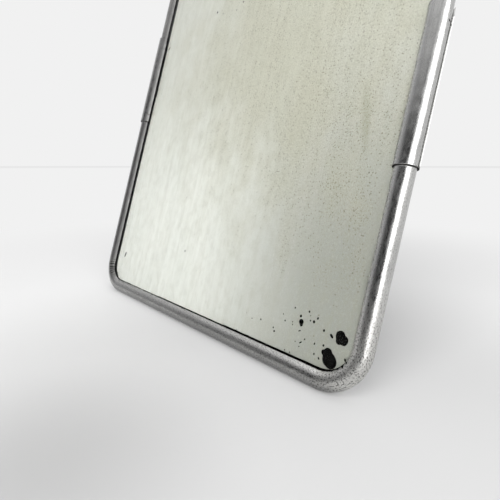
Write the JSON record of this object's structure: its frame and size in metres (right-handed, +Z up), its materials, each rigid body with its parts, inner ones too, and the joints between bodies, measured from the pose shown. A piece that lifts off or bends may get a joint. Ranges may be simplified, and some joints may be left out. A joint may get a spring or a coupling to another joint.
{
  "type": "barber mirror",
  "caption": "Rectangular barber mirror with rounded corners in a bent slit-tube metal frame, standing on its edge with a folding wire stand and a hanging ring.",
  "frame": {"origin": "centre of the standing object's footprint box, on the table plane", "axes": "+X to the viewer's right along the mirror's width, +Y to the back, +Z up; the glass faces -Y and leans back by 18.5 degrees"},
  "size_m": [0.2014, 0.1036, 0.2659],
  "materials": {
    "frame_aluminium": "worn satin with fine pits",
    "sleeve_aluminium": "worn satin",
    "clear_glass": "polished",
    "silver": "old silvering, hazy and spotted",
    "card": "plain black card",
    "tinned_sheet": "dull tinned sheet",
    "bracket_steel": "zinc-plated, dull",
    "rivet_aluminium": "satin",
    "wire_steel": "nickel-plated, slightly worn"
  },
  "bodies": {
    "mirror": {"lower_frame_tube": "frame_aluminium", "upper_frame_tube": "frame_aluminium", "glass_pane": "clear_glass", "silver_coat": "silver", "backing_card": "card", "back_plate": "tinned_sheet", "hinge_bracket": "bracket_steel", "hinge_rivets": "rivet_aluminium", "ring_strap": "bracket_steel", "strap_rivets": "rivet_aluminium"},
    "left_sleeve": {"left_sleeve": "sleeve_aluminium"},
    "right_sleeve": {"right_sleeve": "sleeve_aluminium"},
    "stand": {"stand_wire": "wire_steel"},
    "ring": {"hanging_ring": "wire_steel"}
  },
  "joints": [
    {"name": "stand_fold", "type": "hinge", "parent": "mirror", "child": "stand", "pos_m": [0, 0.00527, 0.14441], "axis": [1, 0, 0], "range_deg": [-36, 0]},
    {"name": "ring_swing", "type": "hinge", "parent": "mirror", "child": "ring", "pos_m": [0, 0.03497, 0.2357], "axis": [1, 0, 0], "range_deg": [-21, 164]},
    {"name": "left_sleeve_slide", "type": "slide", "parent": "mirror", "child": "left_sleeve", "axis": [0, 0.3173, 0.9483], "range_m": [-0.0985, 0.0815]},
    {"name": "right_sleeve_slide", "type": "slide", "parent": "mirror", "child": "right_sleeve", "axis": [0, 0.3173, 0.9483], "range_m": [-0.067, 0.113]}
  ]
}
